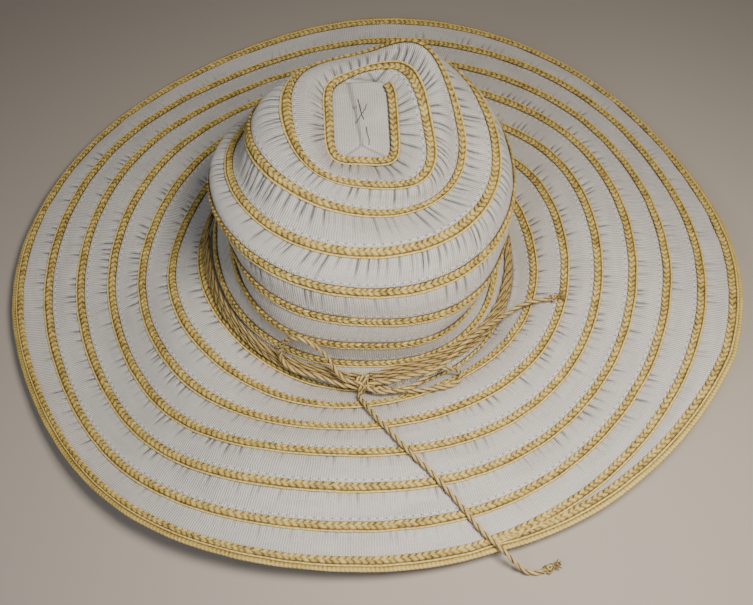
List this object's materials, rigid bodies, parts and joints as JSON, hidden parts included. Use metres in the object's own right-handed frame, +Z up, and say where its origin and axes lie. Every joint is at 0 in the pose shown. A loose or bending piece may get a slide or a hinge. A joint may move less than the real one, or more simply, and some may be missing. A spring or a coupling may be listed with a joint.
{
  "type": "wide-brim sun hat",
  "caption": "Soft wide-brim sun hat of pale ribbon sewn in a spiral with straw braid on every seam and a straw cord tied in a bow round the crown.",
  "frame": {"origin": "centre of the hat's outline at the height of the surface it rests on, without the loose cord", "axes": "+Z up out of the crown, -Y towards the bow at the front, +X to the right seen from the front"},
  "size_m": [0.4214, 0.424, 0.1238],
  "materials": {
    "ribbon": "ribbed off-white ribbon with a soft sheen",
    "braid": "golden plaited straw, satin",
    "cord": "twisted golden straw cord, satin"
  },
  "bodies": {
    "root": {"crown_wall_ribbon": "ribbon", "crown_top_ribbon": "ribbon", "brim_ribbon": "ribbon", "crown_patch": "ribbon", "crown_braid_1": "braid", "crown_braid_2": "braid", "crown_braid_3": "braid", "crown_braid_4": "braid", "crown_braid_5": "braid", "crown_braid_6": "braid", "crown_braid_7": "braid", "crown_braid_8": "braid", "patch_braid": "braid", "edge_braid": "braid", "brim_braid_1": "braid", "brim_braid_2": "braid", "brim_braid_3": "braid", "brim_braid_4": "braid", "brim_braid_5": "braid", "brim_braid_6": "braid", "edge_binding": "braid", "band_cord_1": "cord", "band_cord_2": "cord", "band_cord_3": "cord", "band_cord_4": "cord", "bow_knot": "cord", "bow_loop_left": "cord", "bow_loop_right": "cord", "tail_upper": "cord", "tail_lower": "cord", "tail_upper_knot": "cord", "tail_lower_knot": "cord"}
  },
  "joints": []
}
